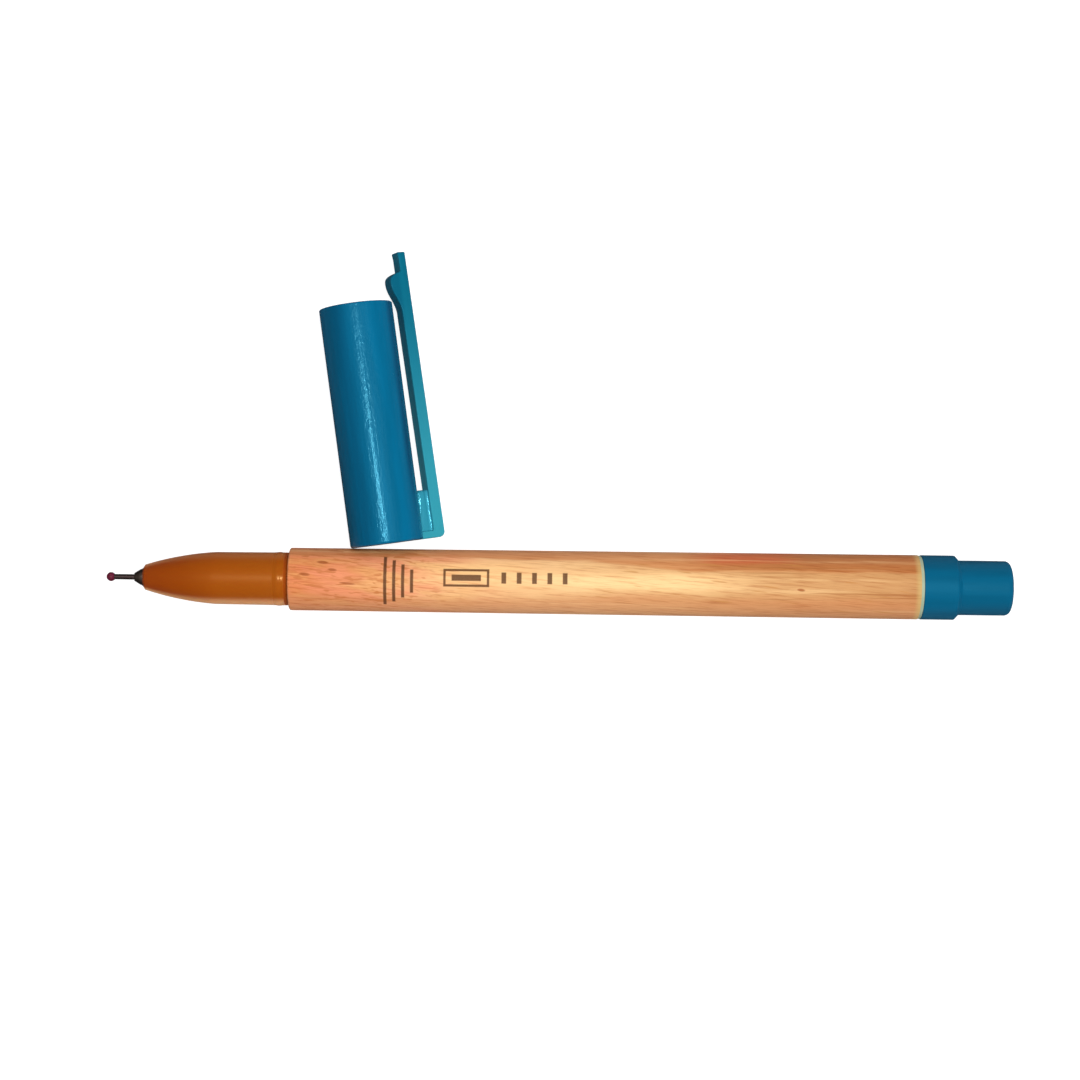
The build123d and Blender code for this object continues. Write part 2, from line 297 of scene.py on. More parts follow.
class Finish:
    """One material's nodes. Coordinates are the piece's own, in millimetres."""

    def __init__(self, name, **settings):
        self.material = bpy.data.materials.new(name)
        self.material.use_nodes = True
        self.tree = self.material.node_tree
        self.shader = self.tree.nodes["Principled BSDF"]
        self.own = self.add("ShaderNodeAttribute", {"attribute_name": "own"}).outputs["Vector"]
        self.set(**settings)

    def set(self, **inputs):
        """Constants or links on the shader's own sockets."""
        self.feed(self.shader, inputs)

    def put(self, socket, value):
        """A link or a constant on one socket."""
        if isinstance(value, bpy.types.NodeSocket):
            self.tree.links.new(value, socket)
        else:
            socket.default_value = value

    def feed(self, node, inputs):
        for name, value in inputs.items():
            self.put(node.inputs[name.replace("_", " ")], value)

    def add(self, kind, settings=None, **inputs):
        node = self.tree.nodes.new(kind)
        for name, value in (settings or {}).items():
            setattr(node, name, value)
        self.feed(node, inputs)
        return node

    def maths(self, operation, *values, clamp=False):
        node = self.add("ShaderNodeMath", {"operation": operation, "use_clamp": clamp})
        for socket, value in zip(node.inputs, values):
            self.put(socket, value)
        return node.outputs["Value"]

    def plus(self, first, second):
        return self.maths("ADD", first, second)

    def minus(self, first, second):
        return self.maths("SUBTRACT", first, second)

    def times(self, first, second):
        return self.maths("MULTIPLY", first, second)

    def times_plus(self, value, factor, shift):
        """The value times the factor, plus the shift."""
        return self.maths("MULTIPLY_ADD", value, factor, shift)

    def parts(self, vector):
        """The three coordinates of a vector."""
        split = self.add("ShaderNodeSeparateXYZ", Vector=vector)
        return split.outputs["X"], split.outputs["Y"], split.outputs["Z"]

    def vector(self, x, y, z):
        return self.add("ShaderNodeCombineXYZ", X=x, Y=y, Z=z).outputs["Vector"]

    def noise(self, vector, rate, seed=0.0, detail=2.0, roughness=0.5, distortion=0.0):
        """Noise with its own rate, in features per millimetre, along each axis."""
        scaled = self.add("ShaderNodeVectorMath", {"operation": "MULTIPLY_ADD"})
        for socket, value in zip(scaled.inputs, (vector, rate, (seed, seed, seed))):
            self.put(socket, value)
        texture = self.add(
            "ShaderNodeTexNoise", Vector=scaled.outputs["Vector"], Scale=1.0,
            Detail=detail, Roughness=roughness, Distortion=distortion,
        )
        return texture.outputs["Fac"]

    def step(self, value, low, high, reach=1.0):
        """Rises smoothly from 0 at low to reach at high."""
        node = self.add(
            "ShaderNodeMapRange", {"interpolation_type": "SMOOTHSTEP"},
            Value=value, From_Min=low, From_Max=high, To_Max=reach,
        )
        return node.outputs["Result"]

    def band(self, value, start, end, soft, reach=1.0):
        """Reach between start and end, and 0 outside, with soft sides."""
        rise = self.step(value, start - soft, start + soft)
        fall = self.step(value, end - soft, end + soft, -1.0)
        return self.times(self.plus(rise, fall), reach)

    def ramp(self, value, stops):
        """The colour at a value between stops, each (value, colour)."""
        node = self.add("ShaderNodeValToRGB", Fac=value)
        elements = node.color_ramp.elements
        while len(elements) < len(stops):
            elements.new(1.0)
        for element, (position, colour) in zip(elements, stops):
            element.position = position
            element.color = colour
        return node.outputs["Color"]

    def mix(self, factor, first, second, blend="MIX"):
        """The first colour, with the second over it; the numbers are the node's own colour sockets."""
        node = self.add("ShaderNodeMix", {"data_type": "RGBA", "blend_type": blend, "clamp_factor": True})
        for index, value in ((0, factor), (6, first), (7, second)):
            self.put(node.inputs[index], value)
        return node.outputs[2]

    def bump(self, height, depth, strength=1.0, under=None):
        """Relief of the given depth in millimetres."""
        node = self.add("ShaderNodeBump", Height=height, Distance=depth * MM, Strength=strength)
        if under:
            self.tree.links.new(under, node.inputs["Normal"])
        return node.outputs["Normal"]


# ---------------- materials ----------------
HALF_GIRTH = math.pi * film_high.y
GRAIN_SLANT = 0.10
KNOTS = [
    (31.9, 0.9, 0.9, 0.30),
    (34.6, 3.0, 1.0, 0.34),
    (36.2, 1.7, 0.8, 0.26),
    (38.6, -0.5, 1.4, 0.22),
    (109.6, -0.6, 0.7, 0.26),
]
RING_LINES = [(44.2, 4.3), (45.6, 3.6), (47.0, 2.8), (48.4, 1.9)]
RING_LINE_WIDTH = 0.50
BAR_FRAME = (53.6, 60.8, -0.8, 2.1)
FRAME_WALL = 0.38
BAR = (54.9, 59.5, 0.15, 1.15)
TICKS = [62.7, 65.1, 67.5, 69.9, 72.3]
TICK_WIDTH = 0.75
TICK_SPAN = (-0.2, 1.6)
MARK_EDGE = 0.08


class WoodFilm(Finish):
    """Printed wood grain: salmon at the front, pale in the middle, tan with fine lines at the back. The pale top
    streaks also carry painted highlight, and the browner flanks painted shade.

    Places on it are stations from the pen's point, and distances round the barrel from its top line,
    both in millimetres.
    """

    def __init__(self):
        super().__init__("wood_film", IOR=1.45, Specular_Tint=(1.0, 0.80, 0.60, 1.0))
        self.station, y, z = self.parts(self.own)
        self.around = self.times(self.maths("ARCTAN2", y, z), film_high.y)
        self.slant = self.times_plus(self.station, GRAIN_SLANT, self.around)
        self.sheet = self.vector(self.station, self.around, 0.0)
        self.leaning = self.vector(self.station, self.slant, 0.0)
        self.sway = self.minus(self.noise(self.sheet, (0.05, 0.25, 1), seed=3.0, detail=3.0), 0.5)
        self.fine = self.noise(self.sheet, (0.35, 7.0, 1), seed=17.0, detail=3.0)

        tone = self.ground()
        for layer in (
            self.front_patches, self.pale_and_lit_core, self.print_and_shaded_sides, self.fibres,
            self.flecks, self.long_lines, self.knots, self.ends, self.burnt_marks,
        ):
            tone = layer(tone)
        self.set(Base_Color=tone)
        sheen = self.noise(self.sheet, (0.4, 3.0, 1), seed=61.0)
        self.set(Roughness=self.times_plus(sheen, 0.16, 0.46))
        self.set(Normal=self.bump(self.fine, 0.012, 0.6))

    def ground(self):
        """The main colour from front to back, with wavy limits."""
        place = self.times_plus(self.sway, 16.0, self.station)
        share = self.maths("DIVIDE", self.minus(place, film_low.x), film_high.x - film_low.x)
        return self.ramp(share, [
            (0.00, linear(210, 126, 77)),
            (0.08, linear(214, 137, 89)),
            (0.16, linear(222, 154, 108)),
            (0.28, linear(230, 176, 124)),
            (0.44, linear(226, 180, 127)),
            (0.60, linear(216, 170, 116)),
            (0.74, linear(202, 153, 101)),
            (0.92, linear(194, 143, 92)),
            (1.00, linear(184, 134, 86)),
        ])

    def front_patches(self, tone):
        """Salmon and honey patches in the front half, and a honey streak on top that is partly print and partly a
        painted highlight where light falls on the barrel's top.
        """
        blotch = self.noise(self.leaning, (0.10, 0.42, 1), seed=11.0, detail=3.0)
        front_only = self.step(self.station, 66.0, 48.0)
        salmon = self.times(self.step(blotch, 0.46, 0.60, 0.7), front_only)
        tone = self.mix(salmon, tone, linear(224, 140, 102))
        honey = self.times(self.step(blotch, 0.50, 0.38, 0.5), front_only)
        tone = self.mix(honey, tone, linear(220, 162, 98))
        # Painted highlight mixed with print: a pale streak along the top.
        streak = self.band(self.around, -0.5, 3.2, 0.9)
        streak = self.times(self.band(self.station, 50.0, 66.0, 4.0, 0.6), streak)
        return self.mix(streak, tone, linear(238, 192, 132))

    def pale_and_lit_core(self, tone):
        """The palest streak, along the top of the middle: partly print and partly a painted highlight where light
        falls on the barrel's top.
        """
        # Painted highlight mixed with print along the top of the middle.
        core = self.band(self.times_plus(self.sway, 3.0, self.around), -0.9, 1.7, 0.9)
        reach = self.band(self.station, 68.0, 98.0, 9.0, 0.75)
        return self.mix(self.times(core, reach), tone, linear(244, 204, 146))

    def print_and_shaded_sides(self, tone):
        """Browner flanks, partly print and partly painted shade where the barrel turns away from the light, with a
        reddish stretch on the far one.
        """
        edge_line = self.step(self.station, 66.0, 100.0, 2.0)
        upper = self.plus(self.times_plus(self.sway, 3.0, self.around), edge_line)
        # Browner flanks above and below: partly print, partly painted shade.
        tone = self.mix(self.step(upper, 3.9, 4.7, 0.8), tone, linear(194, 122, 72))
        back_half = self.step(self.station, 88.0, 104.0)
        edge = self.times(self.step(upper, 4.3, 4.6, 0.55), back_half)
        tone = self.mix(edge, tone, linear(160, 92, 42))
        redness = self.times(self.band(self.station, 94.0, 108.0, 4.0, 0.6), self.step(upper, 5.2, 6.2))
        tone = self.mix(redness, tone, linear(198, 88, 52))
        edge_line = self.step(self.station, 70.0, 88.0)
        lower = self.minus(self.times_plus(self.sway, 4.0, self.around), edge_line)
        return self.mix(self.step(lower, -1.4, -3.8, 0.65), tone, linear(200, 132, 86))

    def fibres(self, tone):
        """Pale and dark fibres all over."""
        pale = self.noise(self.sheet, (0.03, 0.8, 1), seed=23.0, detail=2.0)
        tone = self.mix(self.step(pale, 0.54, 0.72, 0.30), tone, linear(244, 206, 150))
        fibre = self.noise(self.leaning, (0.14, 2.6, 1), seed=5.0, detail=4.0, roughness=0.6)
        tone = self.mix(self.step(fibre, 0.48, 0.68, 0.45), tone, linear(206, 158, 122), "MULTIPLY")
        return self.mix(self.step(self.fine, 0.50, 0.70, 0.25), tone, linear(190, 146, 112), "MULTIPLY")

    def flecks(self, tone):
        """Short dark flecks at the front."""
        for seed, lowest, highest, reach in ((31.0, 0.56, 0.66, 0.7), (37.0, 0.54, 0.70, 0.5)):
            fleck = self.noise(self.leaning, (0.34, 1.5, 1), seed=seed, detail=2.0, distortion=0.5)
            front_only = self.step(self.station, 62.0, 44.0, reach)
            flecks = self.times(self.step(fleck, lowest, highest), front_only)
            tone = self.mix(flecks, tone, linear(182, 104, 54))
        return tone

    def long_lines(self, tone):
        """Long fine lines at the back, and dashes from the middle on."""
        line = self.noise(self.sheet, (0.035, 2.2, 1), seed=41.0, detail=2.0)
        back_only = self.step(self.station, 90.0, 112.0, 0.65)
        tone = self.mix(self.times(self.step(line, 0.60, 0.65), back_only), tone, linear(158, 98, 52))
        dash = self.noise(self.leaning, (0.16, 1.9, 1), seed=53.0, detail=1.0)
        behind_marks = self.step(self.station, 60.0, 76.0, 0.55)
        return self.mix(self.times(self.step(dash, 0.66, 0.72), behind_marks), tone, linear(182, 122, 62))

    def knots(self, tone):
        """Small oval knots, each (station, distance round, half length, half height)."""
        for at, side, length, height in KNOTS:
            along = self.maths("DIVIDE", self.minus(self.station, at), length)
            across = self.maths("DIVIDE", self.minus(self.slant, side + GRAIN_SLANT * at), height)
            squares = self.times_plus(along, along, self.times(across, across))
            tone = self.mix(self.step(squares, 1.2, 0.2, 0.8), tone, linear(150, 76, 36))
        return tone

    def ends(self, tone):
        """A paler rear edge, and the seam along the underside."""
        rear = self.step(self.station, film_high.x - 1.1, film_high.x - 0.2, 0.6)
        tone = self.mix(rear, tone, linear(192, 166, 106))
        seam = self.step(self.maths("ABSOLUTE", self.around), HALF_GIRTH - 0.12, HALF_GIRTH - 0.04, 0.7)
        return self.mix(seam, tone, linear(132, 84, 50))

    def patch(self, front, back, low, high):
        """A soft-edged rectangle on the film."""
        along = self.band(self.station, front, back, MARK_EDGE)
        return self.times(along, self.band(self.around, low, high, MARK_EDGE))

    def burnt_marks(self, tone):
        """Plain marks on top of the barrel: four ring lines, a framed bar and a row of ticks."""
        marks = [self.patch(at, at + RING_LINE_WIDTH, -reach, reach) for at, reach in RING_LINES]
        front, back, low, high = BAR_FRAME
        inside = self.patch(front + FRAME_WALL, back - FRAME_WALL, low + FRAME_WALL, high - FRAME_WALL)
        marks.append(self.maths("SUBTRACT", self.patch(*BAR_FRAME), inside, clamp=True))
        marks.append(self.patch(*BAR))
        marks += [self.patch(at, at + TICK_WIDTH, *TICK_SPAN) for at in TICKS]
        total = marks[0]
        for mark in marks[1:]:
            total = self.maths("MAXIMUM", total, mark)
        char = self.noise(self.sheet, (3.0, 3.0, 1), seed=71.0, detail=2.0)
        burnt = self.mix(char, linear(58, 34, 20), linear(104, 64, 36))
        return self.mix(self.times(total, 0.92), tone, burnt)


STREAK_DEPTH = 0.045
GRIT_DEPTH = 0.032


def blue_plastic(name, base, roughness, ripple, sheen_tone=None, bump_shade_tone=None, flank_shade_tone=None):
    """Moulded blue plastic with flow streaks along its length.

    The clip is paler towards its root, a painted sheen of light, and darker on its bump, painted shade; the cap's
    flanks carry painted shade.
    """
    look = Finish(name, IOR=1.48, Specular_Tint=(0.20, 0.80, 1.0, 1.0))
    station, across, _ = look.parts(look.own)
    flow = look.noise(look.own, (0.05, 0.5, 0.5), seed=2.0, detail=3.0)
    deep = tuple(channel * 0.84 for channel in base[:3]) + (1.0,)
    tone = look.mix(look.step(flow, 0.3, 0.7), deep, base)
    # Painted sheen of light: the clip is paler towards its root.
    if sheen_tone:
        patchy = look.times_plus(flow, 8.0, station)
        tone = look.mix(look.step(patchy, 47.0, 6.0, 0.9), tone, sheen_tone)
    # Painted shade on the clip's bump.
    if bump_shade_tone:
        behind = look.minus(clip_root_outer - CLIP_TAPER * BUMP_PEAK, across)
        shaded = look.times(look.step(behind, 1.2, 2.0), look.step(station, 33.0, 38.0, 0.85))
        tone = look.mix(shaded, tone, bump_shade_tone)
    # Painted shade on the cap's flank beside the clip and on its far flank.
    if flank_shade_tone:
        shade_beside_clip = look.times(look.step(across, 2.2, 3.8), look.step(station, 1.0, 15.0, 0.68))
        far_flank_shade = look.band(across, -5.6, -4.1, 0.8, 0.36)
        tone = look.mix(look.plus(shade_beside_clip, far_flank_shade), tone, flank_shade_tone)
    look.set(Base_Color=tone)
    scuff = look.noise(look.own, (0.5, 3.0, 3.0), seed=7.0, detail=4.0)
    look.set(Roughness=look.times_plus(scuff, 0.12, roughness - 0.06))
    streak = look.noise(look.own, (0.04, 1.3, 1.3), seed=9.0, detail=3.0, roughness=0.5)
    grit = look.noise(look.own, (1.3, 2.2, 2.2), seed=13.0, detail=2.0)
    wave = look.bump(streak, STREAK_DEPTH * ripple)
    look.set(Normal=look.bump(grit, GRIT_DEPTH * ripple, under=wave))
    return look.material


def amber_plastic():
    """Amber grip, darker towards the nose, where the dark refill tip is close inside."""
    look = Finish("amber_plastic", IOR=1.50, Subsurface_Weight=0.15, Subsurface_Scale=0.001)
    look.set(Specular_Tint=(1.0, 0.62, 0.25, 1.0))
    look.set(Subsurface_Radius=(1.0, 0.4, 0.12))
    station, across, _ = look.parts(look.own)
    cloud = look.noise(look.own, (0.12, 0.35, 0.35), seed=4.0, detail=2.0)
    place = look.times_plus(cloud, 3.0, look.minus(station, 1.5))
    tone = look.ramp(look.maths("DIVIDE", place, grip_high.x), [
        (0.14, linear(138, 54, 4)),
        (0.30, linear(142, 60, 1)),
        (0.45, linear(150, 71, 5)),
        (0.70, linear(153, 76, 10)),
        (1.00, linear(156, 80, 12)),
    ])
    # Painted light along the two edges, more along the lower one and towards the nose.
    ahead = look.minus(OGIVE_BACK[0], station)
    ahead = look.maths("DIVIDE", ahead, OGIVE_BACK[0] - grip_low.x, clamp=True)
    narrower = look.times(look.times(ahead, ahead), OGIVE_BACK[1] - NOSE_R)
    edge_share = look.maths("DIVIDE", look.maths("ABSOLUTE", across), look.minus(GRIP_R, narrower))
    glow = look.step(edge_share, 0.66, 1.0)
    lower = look.step(across, grip_high.y, -grip_high.y, 0.95)
    reach = look.plus(lower, look.times_plus(ahead, 0.35, 0.18))
    tone = look.mix(look.times(glow, reach), tone, linear(218, 156, 106))
    # The gap between the ridge and the barrel is dull and painted dark, a painted shade in the crevice; the cap
    # has polished the ridge.
    gap = look.band(station, RIDGE_BACK + 0.34, tube_low.x + 0.3, 0.14)
    look.set(Base_Color=look.mix(gap, tone, linear(148, 62, 5)))
    polished = look.step(station, RIDGE_FRONT - 0.5, RIDGE_FRONT, -0.13)
    rough = look.plus(look.times_plus(cloud, 0.08, 0.34), polished)
    look.set(Roughness=look.times_plus(gap, 0.45, rough))
    ripple = look.noise(look.own, (0.4, 0.8, 0.8), seed=8.0, detail=2.0)
    look.set(Normal=look.bump(ripple, 0.012))
    return look.material


def cream_plastic():
    """The barrel's own plastic, seen at its rear rim and inside."""
    look = Finish("barrel_plastic", IOR=1.50)
    cloud = look.noise(look.own, (0.2, 0.6, 0.6), seed=6.0)
    look.set(Base_Color=look.mix(cloud, linear(134, 152, 130), linear(168, 178, 152)))
    look.set(Roughness=look.times_plus(cloud, 0.1, 0.35))
    look.set(Normal=look.bump(look.noise(look.own, (1, 3, 3), detail=3.0), 0.01))
    return look.material


def metal(name, base, roughness, turning):
    """Drawn or turned metal with fine rings round it."""
    look = Finish(name, Metallic=1.0)
    rings = look.noise(look.own, (turning, 0.4, 0.4), seed=12.0, detail=3.0)
    deep = tuple(channel * 0.7 for channel in base[:3]) + (1.0,)
    look.set(Base_Color=look.mix(rings, deep, base))
    look.set(Roughness=look.times_plus(rings, 0.15, roughness))
    look.set(Normal=look.bump(rings, 0.004))
    return look.material


def bead_wax():
    """Dark wine-coloured sealing bead, slightly translucent."""
    look = Finish("bead_wax", IOR=1.45, Subsurface_Weight=0.3, Subsurface_Scale=0.0005)
    mottle = look.noise(look.own, (1.5, 1.5, 1.5), seed=5.0, detail=3.0)
    look.set(Base_Color=look.mix(mottle, linear(72, 8, 30), linear(108, 24, 52)))
    look.set(Roughness=look.times_plus(mottle, 0.2, 0.3))
    look.set(Normal=look.bump(mottle, 0.03))
    return look.material


def clear_plastic(name, colour, see_through, roughness):
    """Natural polypropylene or polyethylene, cloudy and see-through."""
    look = Finish(name, IOR=1.49, Transmission_Weight=see_through)
    haze = look.noise(look.own, (0.15, 1.0, 1.0), seed=14.0, detail=3.0)
    pale = tuple(min(1.0, channel * 1.08) for channel in colour[:3]) + (1.0,)
    look.set(Base_Color=look.mix(haze, colour, pale))
    look.set(Roughness=look.times_plus(haze, 0.12, roughness))
    look.set(Normal=look.bump(haze, 0.01))
    return look.material


def ink_finish():
    """Thick dark blue ink with small bubbles along the tube wall."""
    look = Finish("ink", IOR=1.40)
    swirl = look.noise(look.own, (0.4, 1.5, 1.5), seed=15.0, detail=4.0)
    look.set(Base_Color=look.mix(swirl, linear(6, 8, 44), linear(14, 20, 92)))
    look.set(Roughness=look.times_plus(swirl, 0.2, 0.08))
    look.set(Normal=look.bump(swirl, 0.02))
    return look.material


BLUE = linear(1, 84, 117)
CAP_BLUE = linear(1, 94, 131)
TEAL = linear(3, 98, 123)
# Painted tones: shade on the clip's bump and on the cap's flanks, and a sheen of light on the clip near its root.
SHADED_BUMP_BLUE = linear(2, 83, 108)
SHADED_FLANK_BLUE = linear(1, 52, 84)
PAINTED_SHEEN_TEAL = linear(48, 142, 158)
WEB_TEAL = linear(43, 135, 157)

wood = WoodFilm().material
cap_blue = blue_plastic("blue_plastic_cap", CAP_BLUE, 0.24, 1.3, flank_shade_tone=SHADED_FLANK_BLUE)
plug_blue = blue_plastic("blue_plastic_plug", BLUE, 0.45, 0.5)
clip_blue = blue_plastic("blue_plastic_clip", TEAL, 0.42, 0.8, PAINTED_SHEEN_TEAL, SHADED_BUMP_BLUE)
web_blue = blue_plastic("blue_plastic_web", WEB_TEAL, 0.14, 1.6)
amber = amber_plastic()
cream = cream_plastic()
steel = metal("drawn_steel", (0.112, 0.076, 0.072, 1.0), 0.34, 6.0)
plated = metal("dark_plating", (0.24, 0.18, 0.15, 1.0), 0.30, 9.0)
carbide = metal("ball_carbide", (0.40, 0.40, 0.42, 1.0), 0.15, 12.0)
wax = bead_wax()
natural = clear_plastic("natural_plastic", (0.80, 0.81, 0.76, 1.0), 0.88, 0.15)
grease = clear_plastic("follower_grease", (0.82, 0.76, 0.48, 1.0), 0.75, 0.12)
liner_white = clear_plastic("liner_plastic", (0.80, 0.81, 0.79, 1.0), 0.10, 0.42)
ink = ink_finish()


# ---------------- barrel, film and end plug ----------------
def barrel_radius(station):
    """Outer radius of the film at a station; the barrel widens evenly to the back."""
    return film_high.y - (film_high.x - station) * BARREL_TAPER


def make_barrel():
    front, back = tube_low.x, tube_high.x
    shape = lathe(rounded([
        (front, BARREL_BORE, 0.15),
        (front, barrel_radius(front) - FILM, BARREL_FRONT_EDGE),
        (back, barrel_radius(back) - FILM, 0.08),
        (back, BARREL_BORE),
    ]))
    fit(piece("barrel_body", shape, PEN, cream), "barrel", "barrel_plastic", "barrel_tube")


def make_film():
    """The film, tucked a little way round the barrel's front edge."""
    front, back = tube_low.x + 0.02, film_high.x
    tuck = 0.2
    shape = lathe(rounded([
        (front, barrel_radius(front) - FILM - tuck),
        (front, barrel_radius(front), FILM + tuck),
        (back, barrel_radius(back), 0.03),
        (back, barrel_radius(back) - FILM - 0.01),
        (front + FILM + tuck, barrel_radius(front) - FILM - 0.01),
    ]))
    fit(piece("wood_film", shape, PEN, wood), "barrel", "wood_grain_film", "wood_grain_wrap")


def make_plug():
    """Plug, flange and post, with a small gate mark in the middle of its end face."""
    flange_front = tube_high.x
    flange_back = flange_front + FLANGE_LENGTH
    post_front = flange_back + FLANGE_SLOPE
    end = plug_high.x
    post_r = post_mount["dims"]["r_mm"]
    shape = lathe(rounded([
        (plug_low.x, PLUG_BORE, 0.2),
        (plug_low.x, BARREL_BORE - 0.01, 0.4),
        (flange_front, BARREL_BORE - 0.01),
        (flange_front, plug_high.y, 0.08),
        (flange_back, plug_high.y, 0.20),
        (post_front, post_r, 0.25),
        (end, post_r, POST_EDGE),
        (end, GATE_RECESS_R, 0.08),
        (end - GATE_RECESS_DEPTH, GATE_RECESS_R - 0.12, 0.05),
        (end - GATE_RECESS_DEPTH, GATE_R, 0.05),
        (end - GATE_BELOW_END, GATE_R - 0.06, 0.05),
        (end - GATE_BELOW_END, 0.0),
        (end - PLUG_FLOOR, 0.0),
        (end - PLUG_FLOOR, PLUG_BORE, 0.3),
    ]))
    fit(piece("end_plug_body", shape, PEN, plug_blue), "barrel", "blue_plastic", "end_plug")


make_barrel()
make_film()
make_plug()


# ---------------- grip section ----------------
def make_grip():
    """Ogive nose, snap ridge, the spigot inside the barrel, and the stepped bore."""
    front = grip_low.x
    nose_back = (front + NOSE_EDGE, NOSE_R + NOSE_EDGE / 2)
    ogive = arc(nose_back, OGIVE_MIDDLE, OGIVE_BACK, 24)
    ridge_middle = ((RIDGE_FRONT + RIDGE_BACK) / 2, RIDGE_CREST)
    ridge = arc((RIDGE_FRONT, RIDGE_FOOT_R), ridge_middle, (RIDGE_BACK, RIDGE_FOOT_R), 16)
    shoulder = tube_low.x
    shape = lathe(rounded([
        (front, NOSE_BORE, 0.08),
        (front, NOSE_R - NOSE_EDGE, 0.08),
        nose_back,
        *ogive,
        OGIVE_BACK,
        (RIDGE_FRONT - 0.25, GRIP_R, 0.8),
        *ridge,
        (shoulder - 0.02, NECK_R, 0.05),
        (shoulder - 0.02, SPIGOT_R, 0.05),
        (grip_high.x, SPIGOT_R, 0.35),
        (grip_high.x, GRIP_BORE, 0.15),
        (HOLDER_BORE_BACK, GRIP_BORE),
        (HOLDER_BORE_BACK, HOLDER_BORE),
        (holder_low.x, HOLDER_BORE),
        (holder_low.x, NOSE_BORE),
    ]))
    fit(piece("grip_body", shape, PEN, amber), "front_section", "amber_plastic", "grip_section")


make_grip()


# ---------------- refill, ball, bead, ink and follower ----------------
def make_needle():
    """Drawn tube, narrowed at the front round the socket of its ball."""
    front, back, r = needle_low.x, needle_high.x, needle_high.y
    ball_at = (ball_low.x + ball_high.x) / 2
    socket_r = ball_high.y + 0.015
    channel_r, lip_r, lip_length = 0.20, 0.30, 0.48
    mouth = (front, math.sqrt(socket_r ** 2 - (ball_at - front) ** 2))
    throat = (ball_at + math.sqrt(socket_r ** 2 - channel_r ** 2), channel_r)
    socket = arc(throat, (ball_at, socket_r), mouth, 10)
    shape = lathe(rounded([
        mouth,
        (front, lip_r, 0.015),
        (front + lip_length, r, 0.3),
        (back, r, 0.05),
        (back, channel_r),
        throat,
        *socket,
    ]))
    fit(piece("needle", shape, PEN, steel), "refill", "steel", "needle_tube")


def make_ball():
    at, r = (ball_low.x + ball_high.x) / 2, ball_high.y
    shape = lathe([(at - r, 0.0), *arc((at - r, 0.0), (at, r), (at + r, 0.0), 24), (at + r, 0.0)])
    fit(piece("carbide_ball", shape, PEN, carbide), "ball", "ball_metal", "writing_ball")


def make_bead():
    """Wax bead with a blind bore, and a small meniscus where it meets the needle."""
    r = bead_high.y
    bore, floor = 0.435, 0.40
    rim = bead_high.x - 0.10
    rim_r = math.sqrt(r ** 2 - (rim - r) ** 2)
    dome = arc((0.0, 0.0), (r * (1 - math.sqrt(0.5)), r * math.sqrt(0.5)), (rim, rim_r), 20)
    shape = lathe([
        (0.0, 0.0),
        *dome,
        (rim, rim_r),
        (rim + 0.06, rim_r - 0.05),
        (rim + 0.02, bore),
        (floor, bore),
        (floor, 0.0),
    ])
    fit(piece("bead", shape, PEN, wax), "bead", "bead_wax", "sealing_bead")


def make_collar():
    """Cone with a turned groove, then a shoulder and the socket for the needle."""
    front, back, r = collar_low.x, collar_high.x, collar_high.y
    shoulder, front_r, stem_r, channel_r = 5.75, 0.65, 0.95, 0.50
    bore = needle_high.y + 0.005
    shape = lathe(rounded([
        (front, bore),
        (front, front_r, 0.08),
        (shoulder - 0.25, r - 0.13, 0.10),
        (shoulder - 0.18, r - 0.16),
        (shoulder - 0.10, r - 0.13),
        (shoulder, r, 0.10),
        (holder_low.x, r),
        (holder_low.x, stem_r),
        (back, stem_r, 0.1),
        (back, channel_r),
        (needle_high.x, channel_r),
        (needle_high.x, bore),
    ]))
    fit(piece("collar", shape, PEN, plated), "refill", "dark_metal", "tip_collar")


def make_holder():
    """Adapter with a grip groove round it, and a stem that the ink tube is pushed onto."""
    front, back, r = holder_low.x, holder_high.x, holder_high.y
    step = refill_low.x
    stem, channel, bore = 1.15, 0.60, 0.96
    groove_r = r - 0.18
    shape = lathe(rounded([
        (front, bore),
        (front, r, 0.15),
        (front + 2.0, r, 0.1),
        (front + 2.3, groove_r, 0.1),
        (front + 3.1, groove_r, 0.1),
        (front + 3.4, r, 0.1),
        (step, r, 0.1),
        (step, stem),
        (back, stem - 0.02, 0.2),
        (back, channel, 0.1),
        (collar_high.x, channel),
        (collar_high.x, bore),
    ]))
    fit(piece("refill_holder", shape, PEN, natural), "refill", "natural_plastic", "tip_holder")


def make_refill():
    front, back, r = refill_low.x, refill_high.x, refill_high.y
    bore = 1.16
    shape = lathe(rounded([(front, bore), (front, r, 0.1), (back, r, 0.08), (back, bore, 0.08)]))
    fit(piece("ink_tube", shape, PEN, natural), "refill", "natural_plastic", "refill_tube")


def make_ink():
    """A thread of ink through collar and holder, and the ink column in the tube, on a mesh of its own."""
    gap = 0.03
    collar_channel, holder_channel, tube_bore = 0.50 - gap, 0.60 - gap, 1.15 - gap
    neck, tube_start = collar_high.x, holder_high.x
    thread = lathe([
        (ink_low.x, 0.0),
        (ink_low.x, collar_channel),
        (neck, collar_channel),
        (neck, holder_channel),
        (tube_start, holder_channel),
        (tube_start, 0.0),
    ])
    fit(piece("ink_thread", thread, PEN, ink), "refill", "ink")
    column = lathe(rounded([
        (tube_start, 0.0),
        (tube_start, tube_bore, 0.1),
        (ink_high.x, tube_bore),
        (ink_high.x, 0.0),
    ]))
    made = fit(piece("ink_fill", column, PEN, ink), "refill", "ink", "ink_column")
    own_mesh(made)


def make_follower():
    """Plug of grease, hollowed at the back where it clings to the tube."""
    front, back, r = grease_low.x + 0.01, grease_high.x, grease_high.y
    hollow = (back - 0.55, 0.0)
    dish = arc((back, r), (back - 0.45, r * 0.6), hollow, 10)
    shape = lathe([(front, 0.0), (front, r), (back, r), *dish, hollow])
    fit(piece("grease_plug", shape, PEN, grease), "follower", "grease", "ink_follower")


make_needle()
make_ball()
make_bead()
make_collar()
make_holder()
make_refill()
make_ink()
make_follower()


